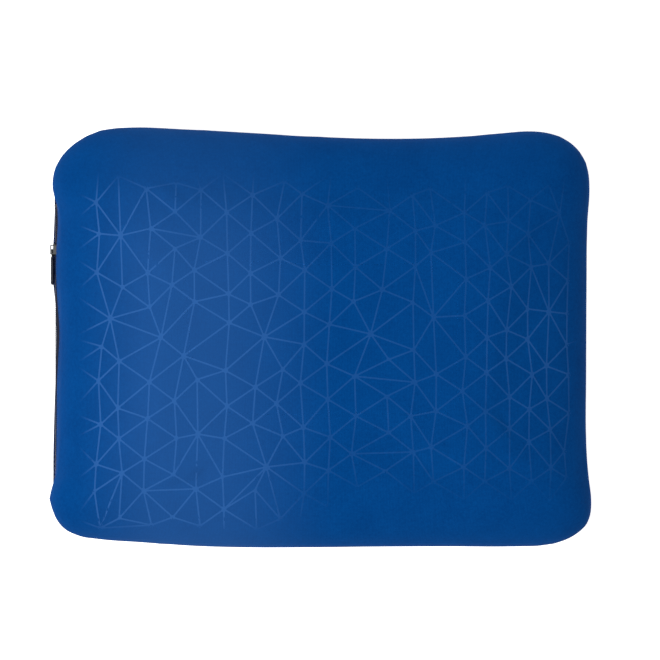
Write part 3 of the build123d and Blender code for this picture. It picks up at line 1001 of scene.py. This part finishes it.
def tube(bm, path, radius, sides):
    # a round wire along a list of points
    ring = None
    for n, point in enumerate(path):
        ahead = path[min(n + 1, len(path) - 1)] - path[max(n - 1, 0)]
        turn = ahead.to_track_quat("Z", "Y").to_matrix().to_4x4()
        made = bmesh.ops.create_circle(bm, segments=sides, radius=radius, cap_ends=n in (0, len(path) - 1),
                                       matrix=Matrix.Translation(point) @ turn)
        edges = list({e for v in made["verts"] for e in v.link_edges})
        if ring:
            bmesh.ops.bridge_loops(bm, edges=ring + edges)
        ring = edges


def makeCoil(side, name, node):
    bm = bmesh.new()
    phase = 0.0 if side > 0 else zipParts["pitch"] / 2
    low, high = startStopBox[1].y, endStopBox[0].y
    turns = int((high - low) / zipParts["pitch"])
    path = []
    for n in range(turns * zipParts["turnSteps"]):
        turn = n / zipParts["turnSteps"]
        y = low + phase + turn * zipParts["pitch"]
        angle = 2 * math.pi * turn
        spread = zipParts["rowMiddle"] - zipParts["rowReach"] * math.cos(angle) + openGap(y)
        out = zipParts["wire"] + zipParts["rowDepth"] * (1 + math.sin(angle))
        path.append(Vector((tapeFaceX - out, y, seamZ + side * spread)))
    tube(bm, path, zipParts["wire"], zipParts["wireSides"])
    coil = smoothFaces(addMesh(name, bm), 60)
    dress(coil, "coil", "cushion")
    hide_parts(node)
    print(name, len(coil.data.polygons))


makeTape(1, "zipTapeUpper", "zip_tape_upper")
makeTape(-1, "zipTapeLower", "zip_tape_lower")
makeCoil(1, "zipCoilUpper", "zip_coil_upper")
makeCoil(-1, "zipCoilLower", "zip_coil_lower")


# stitching

stitch = {
    "length": 2.5 * mm,
    "pitch": 3.4 * mm,
    "radius": 0.22 * mm,
    "flatter": 0.8,
    "fromLip": 2.4 * mm,
    "proud": 0.06 * mm,
}


def addStitch(bm, middle, along, out):
    # one thread lying on the cloth, its ends going in
    side = along.cross(out).normalized()
    turn = Matrix((side, along.normalized(), out.normalized())).transposed().to_4x4()
    size = Matrix.Diagonal((stitch["radius"], stitch["length"] / 2, stitch["radius"] * stitch["flatter"], 1))
    bmesh.ops.create_uvsphere(bm, u_segments=6, v_segments=5, radius=1,
                              matrix=Matrix.Translation(middle) @ turn @ size)


def zipStitches(side, name):
    bm = bmesh.new()
    z = seamZ + side * (cushion["zipLip"] + stitch["fromLip"])
    count = int((zipHigh - zipLow + 4 * mm) / stitch["pitch"])
    for n in range(count):
        y = zipLow - 2 * mm + (n + 0.5) * stitch["pitch"]
        hit, ahead = wallHit(y, z), wallHit(y + stitch["pitch"] / 2, z)
        if hit[0] is None or ahead[0] is None:
            continue
        addStitch(bm, hit[0] + hit[1] * stitch["proud"], ahead[0] - hit[0], hit[1])
    row = smoothFaces(addMesh(name, bm))
    dress(row, "thread", "cushion")


zipStitches(1, "zipStitchUpper")
zipStitches(-1, "zipStitchLower")


# the valve

binding = {
    "inner": 19.9,
    "outer": 23.2,
    "stand": 0.75,
    "back": -1.95,
    "slotLow": -1.35,
    "stitchRadius": 21.9,
}


def makeBinding():
    # a folded tape, spun round the window
    bm = bmesh.new()
    b = binding
    section = [
        (b["outer"], 0.12), (b["outer"] - 0.25, b["stand"] * 0.85), (b["outer"] - 0.9, b["stand"]),
        (b["inner"] + 0.7, b["stand"] + 0.1), (b["inner"] + 0.1, b["stand"] * 0.5), (b["inner"], -0.6),
        (b["inner"] + 0.1, b["back"] * 0.8), (b["inner"] + 0.7, b["back"]),
        (b["outer"] - 0.9, b["back"] + 0.05), (b["outer"], b["slotLow"] - 0.1), (b["outer"], b["slotLow"]),
        (b["inner"] + 0.6, b["slotLow"]), (b["inner"] + 0.6, 0.12),
    ]
    verts = [bm.verts.new((r * mm, 0, h * mm)) for r, h in section]
    edges = [bm.edges.new(pair) for pair in zip(verts, verts[1:] + verts[:1])]
    bmesh.ops.spin(bm, geom=verts + edges, cent=(0, 0, 0), axis=(0, 0, 1), angle=2 * math.pi, steps=96,
                   use_merge=True)
    bmesh.ops.remove_doubles(bm, verts=bm.verts[:], dist=0.01 * mm)
    bmesh.ops.transform(bm, matrix=valveFrame, verts=bm.verts[:])
    ring = smoothFaces(addMesh("windowBinding", bm), 50)
    dress(ring, "binding", "cushion")
    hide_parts("valve_window_binding")
    bm = bmesh.new()
    count = int(2 * math.pi * b["stitchRadius"] * mm / stitch["pitch"])
    for n in range(count):
        angle = 2 * math.pi * n / count
        spoke = Vector((math.cos(angle), math.sin(angle), 0))
        middle = valveFrame @ (spoke * b["stitchRadius"] * mm + Vector((0, 0, (b["stand"] + 0.02) * mm)))
        along = valveFrame.to_3x3() @ Vector((-spoke.y, spoke.x, 0))
        addStitch(bm, middle, along, valveOut)
    row = smoothFaces(addMesh("bindingStitch", bm))
    dress(row, "thread", "cushion")


makeBinding()


strapShape = {"waist": 0.22, "roundEdge": 0.3}
straps = {
    # side views and blend places in the valve's frame, in millimetres
    "plugStrap": {
        "node": "valve_plug_strap",
        "path": [(-15.9, -1.45), (-17.0, -1.25), (-17.8, -0.6), (-18.1, 0.4), (-17.7, 1.4), (-16.9, 2.0),
                 (-15.9, 2.3), (-14.8, 2.4)],
        "halfWidth": 5.5,
        "thickness": 0.7,
        "bodies": ("cushion", "plug"),
        "start": (0, -17.4, -0.9),
        "end": (0, -16.6, 2.2),
    },
    "capStrap": {
        "node": "valve_cap_strap",
        "path": [(8.6, 3.85), (9.8, 3.75), (11.0, 3.72), (12.1, 3.68), (13.0, 3.5), (13.6, 3.2), (14.0, 2.9),
                 (14.2, 2.6)],
        "halfWidth": 3.0,
        "thickness": 0.5,
        "bodies": ("plug", "cap"),
        "start": (0, 13.2, 3.2),
        "end": (0, 11.0, 3.7),
    },
}


def makeStrap(name, node, path, halfWidth, thickness, bodies, start, end):
    # a soft hinge strap along a side view
    line = [Vector((0, y * mm, z * mm)) for y, z in path]
    bm = bmesh.new()
    steps = len(line) - 1
    bmesh.ops.create_grid(bm, x_segments=6, y_segments=steps, size=0.5)
    for vertex in bm.verts:
        point = line[round((vertex.co.y + 0.5) * steps)]
        waist = 1 - strapShape["waist"] * math.sin(math.pi * (vertex.co.y + 0.5))
        vertex.co = (vertex.co.x * 2 * halfWidth * mm * waist, point.y, point.z)
    strap = addMesh(name, bm)
    withModifier(strap, "SOLIDIFY", thickness=thickness * mm, offset=0)
    withModifier(strap, "BEVEL", width=thickness * strapShape["roundEdge"] * mm, segments=2,
                 limit_method="ANGLE")
    withModifier(strap, "SUBSURF", levels=1, render_levels=1)
    strap.data.transform(valveFrame)
    smoothFaces(strap)
    strap.data.materials.append(finishes["softValve"])
    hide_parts(node)
    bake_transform(strap)


for name, settings in straps.items():
    makeStrap(name, **settings)
print("valve: binding and", len(straps), "straps")

for node, finish in {
    "valve_weld_flange": "hardValve",
    "valve_tether_ring": "softValve",
    "valve_deflate_plug": "hardValve",
    "valve_check_flap": "softValve",
    "valve_release_button": "button",
    "valve_inflate_cap": "hardValve",
    "zip_slider": "metal",
    "zip_pull_link": "metal",
    "zip_pull_grip": "grip",
    "zip_start_stop": "metal",
    "zip_end_stops": "metal",
}.items():
    piece = frame["nodes"][node]
    piece.data.materials.clear()
    piece.data.materials.append(finishes[finish])

bpy.data.objects.remove(body)


# floor, light and camera

studio = {
    "frameWidth": 0.5124,
    "cameraHeight": 2.6,
    "aim": (7.2 * mm, 5.4 * mm),
    "sensor": 36.0,
    "key": ((-0.85, -0.2, 2.0), 42.0, 0.7),
    "fill": ((0.9, 0.6, 1.8), 3.0, 1.2),
    "world": 0.24,
    "floorHalf": 6,
    "floorDrop": 0.4 * mm,
    "floorGlow": 0.85,
}


def areaLight(name, place, power, size):
    light = bpy.data.lights.new(name, "AREA")
    light.energy = power
    light.shape = "DISK"
    light.size = size
    holder = bpy.data.objects.new(name, light)
    holder.location = place
    holder.rotation_euler = (-Vector(place)).to_track_quat("-Z", "Y").to_euler()
    bpy.context.scene.collection.objects.link(holder)


def makeStudio():
    bm = bmesh.new()
    bmesh.ops.create_grid(bm, x_segments=1, y_segments=1, size=studio["floorHalf"])
    bmesh.ops.translate(bm, vec=(0, 0, -studio["floorDrop"]), verts=bm.verts[:])
    floor = addMesh("floor", bm)
    material = newMaterial("paleFloor", 0.9, {
        "Base Color": (0.93, 0.93, 0.93, 1),
        "Emission Color": (1, 1, 1, 1),
        "Emission Strength": studio["floorGlow"],
    })[0]
    floor.data.materials.append(material)
    areaLight("key", *studio["key"])
    areaLight("fill", *studio["fill"])
    scene = bpy.context.scene
    scene.world = bpy.data.worlds.new("softRoom")
    scene.world.use_nodes = True
    background = scene.world.node_tree.nodes["Background"]
    background.inputs["Color"].default_value = (0.95, 0.97, 1, 1)
    background.inputs["Strength"].default_value = studio["world"]
    scene.view_settings.view_transform = "Standard"
    lens = bpy.data.cameras.new("camera")
    lens.sensor_width = studio["sensor"]
    lens.lens = studio["sensor"] * (studio["cameraHeight"] - seamZ) / studio["frameWidth"]
    camera = bpy.data.objects.new("camera", lens)
    camera.location = (*studio["aim"], studio["cameraHeight"])
    scene.collection.objects.link(camera)
    scene.camera = camera


makeStudio()
